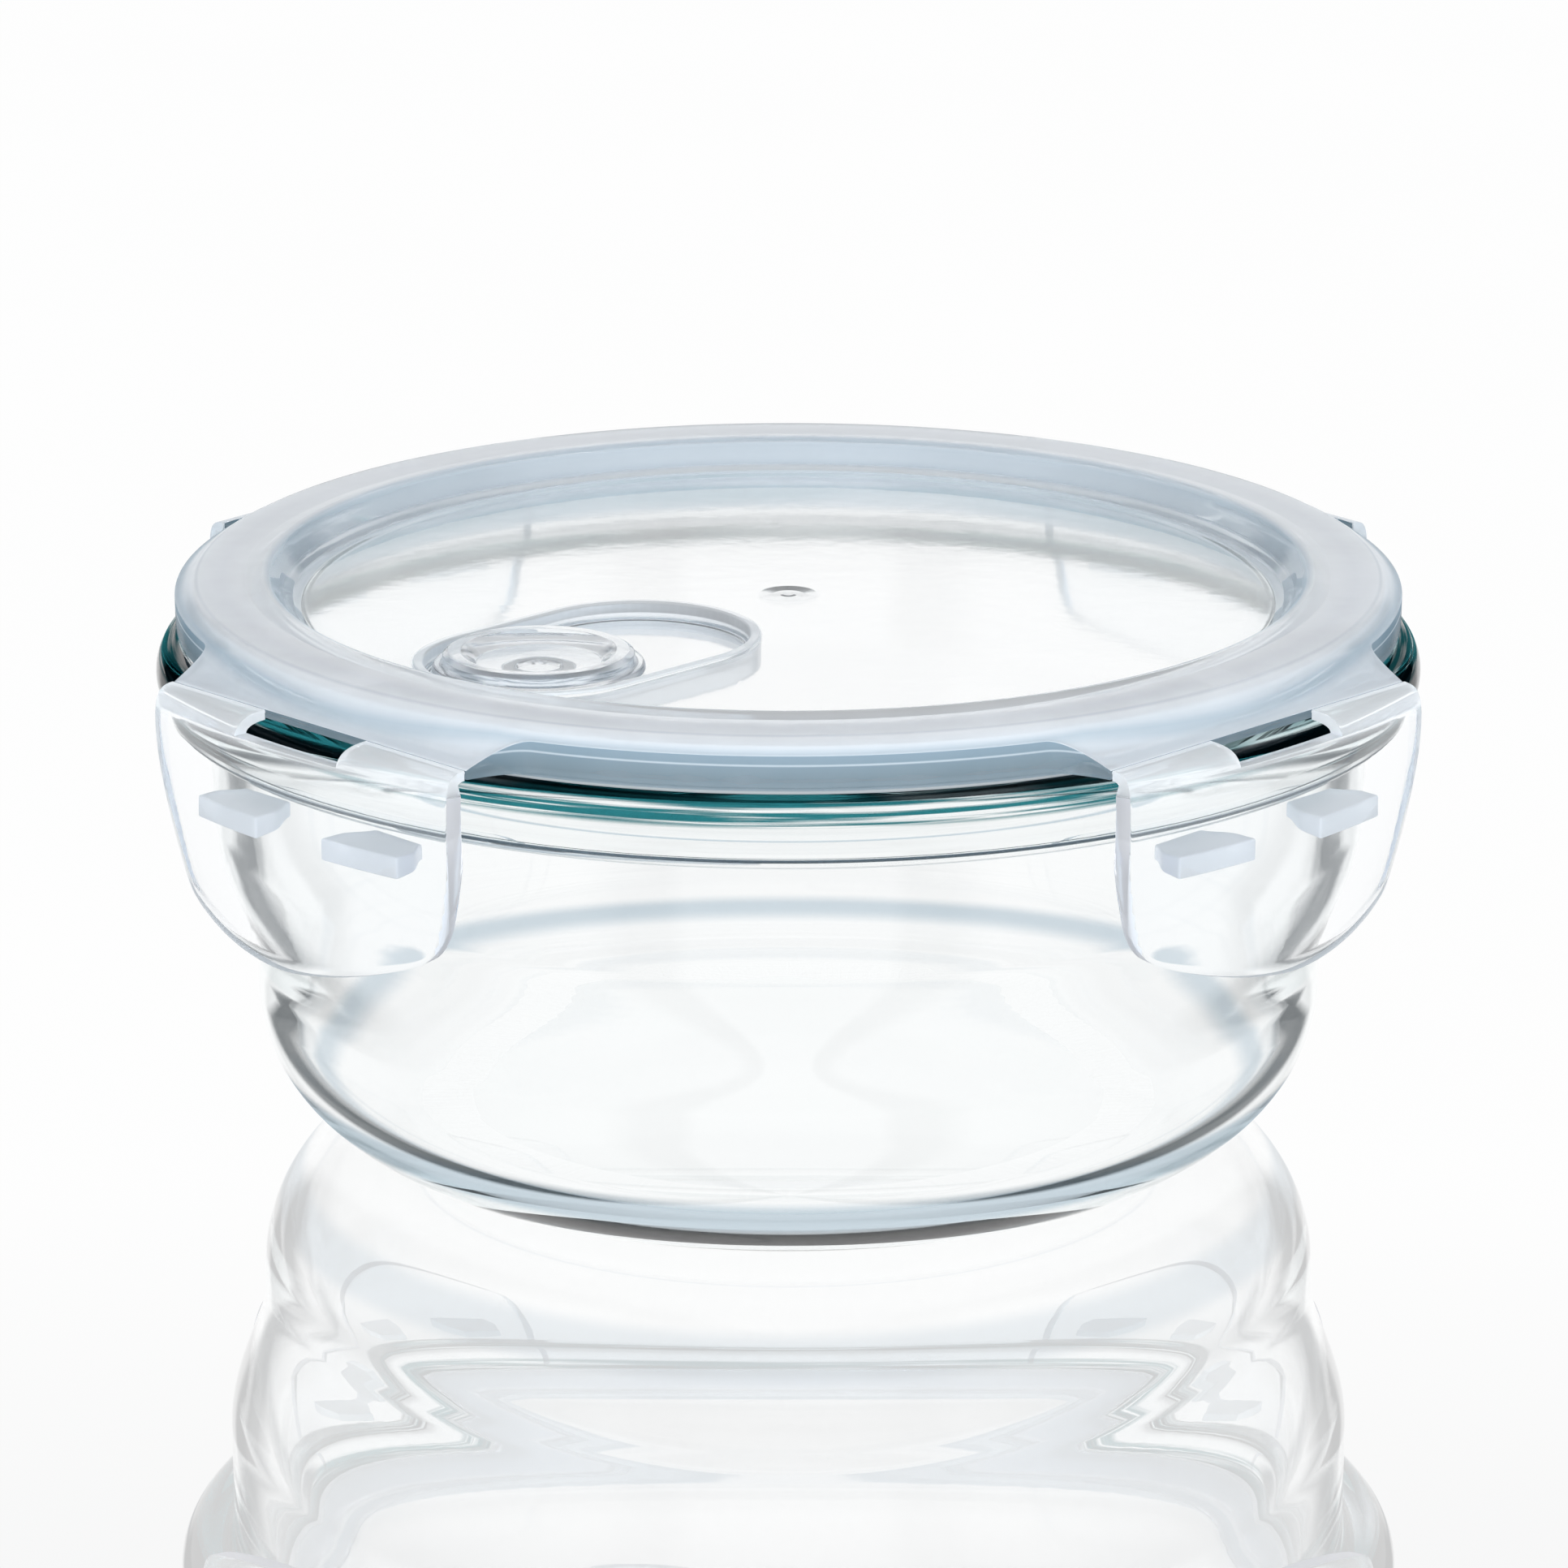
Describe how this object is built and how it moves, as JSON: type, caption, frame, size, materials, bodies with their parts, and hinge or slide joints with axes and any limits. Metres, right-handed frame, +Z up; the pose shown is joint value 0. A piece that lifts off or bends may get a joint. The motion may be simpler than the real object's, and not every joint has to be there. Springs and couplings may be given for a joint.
{
  "type": "glass food storage container",
  "caption": "Round clear glass food container with a clear snap-lock lid: hinged side flaps, silicone gasket and a pull-up vent.",
  "frame": {"origin": "centre of the bowl's foot, on the surface it stands on", "axes": "+Z up through the lid; -Y is the front; the four flaps sit on the diagonals of X and Y; the vent is on the front left diagonal (-X, -Y)"},
  "size_m": [0.1702, 0.1702, 0.078],
  "materials": {
    "clear_glass": "clear soda-lime glass, faint teal tint at the edges",
    "lid_plastic": "clear moulded plastic with a faint blue-grey haze",
    "flap_plastic": "clear glossy moulded plastic, frosted at the cut edges",
    "vent_plastic": "clear glossy moulded plastic",
    "silicone": "translucent pale grey silicone, satin"
  },
  "bodies": {
    "bowl": {"glass_bowl": "clear_glass"},
    "lid": {"lid": "lid_plastic", "lid_gasket": "silicone"},
    "vent": {"vent_cap": "vent_plastic", "vent_seal": "silicone"},
    "flap_front_left": {"flap_front_left": "flap_plastic", "catch_front_left_1": "flap_plastic", "catch_front_left_2": "flap_plastic"},
    "flap_front_right": {"flap_front_right": "flap_plastic", "catch_front_right_1": "flap_plastic", "catch_front_right_2": "flap_plastic"},
    "flap_back_left": {"flap_back_left": "flap_plastic", "catch_back_left_1": "flap_plastic", "catch_back_left_2": "flap_plastic"},
    "flap_back_right": {"flap_back_right": "flap_plastic", "catch_back_right_1": "flap_plastic", "catch_back_right_2": "flap_plastic"}
  },
  "joints": [
    {"name": "lid_lift", "type": "slide", "parent": "bowl", "child": "lid", "axis": [0, 0, 1], "range_m": [0, 0.06], "deforming": ["catch_front_left_1", "catch_front_left_2", "catch_front_right_1", "catch_front_right_2", "catch_back_left_1", "catch_back_left_2", "catch_back_right_1", "catch_back_right_2"]},
    {"name": "vent_lift", "type": "slide", "parent": "lid", "child": "vent", "axis": [0, 0, 1], "range_m": [0, 0.008]},
    {"name": "flap_front_left_hinge", "type": "hinge", "parent": "lid", "child": "flap_front_left", "pos_m": [-0.05957, -0.05957, 0.0729], "axis": [-0.7071, 0.7071, 0], "range_deg": [0, 130]},
    {"name": "flap_front_right_hinge", "type": "hinge", "parent": "lid", "child": "flap_front_right", "pos_m": [0.05957, -0.05957, 0.0729], "axis": [-0.7071, -0.7071, 0], "range_deg": [0, 130]},
    {"name": "flap_back_left_hinge", "type": "hinge", "parent": "lid", "child": "flap_back_left", "pos_m": [-0.05957, 0.05957, 0.0729], "axis": [0.7071, 0.7071, 0], "range_deg": [0, 130]},
    {"name": "flap_back_right_hinge", "type": "hinge", "parent": "lid", "child": "flap_back_right", "pos_m": [0.05957, 0.05957, 0.0729], "axis": [0.7071, -0.7071, 0], "range_deg": [0, 130]}
  ]
}
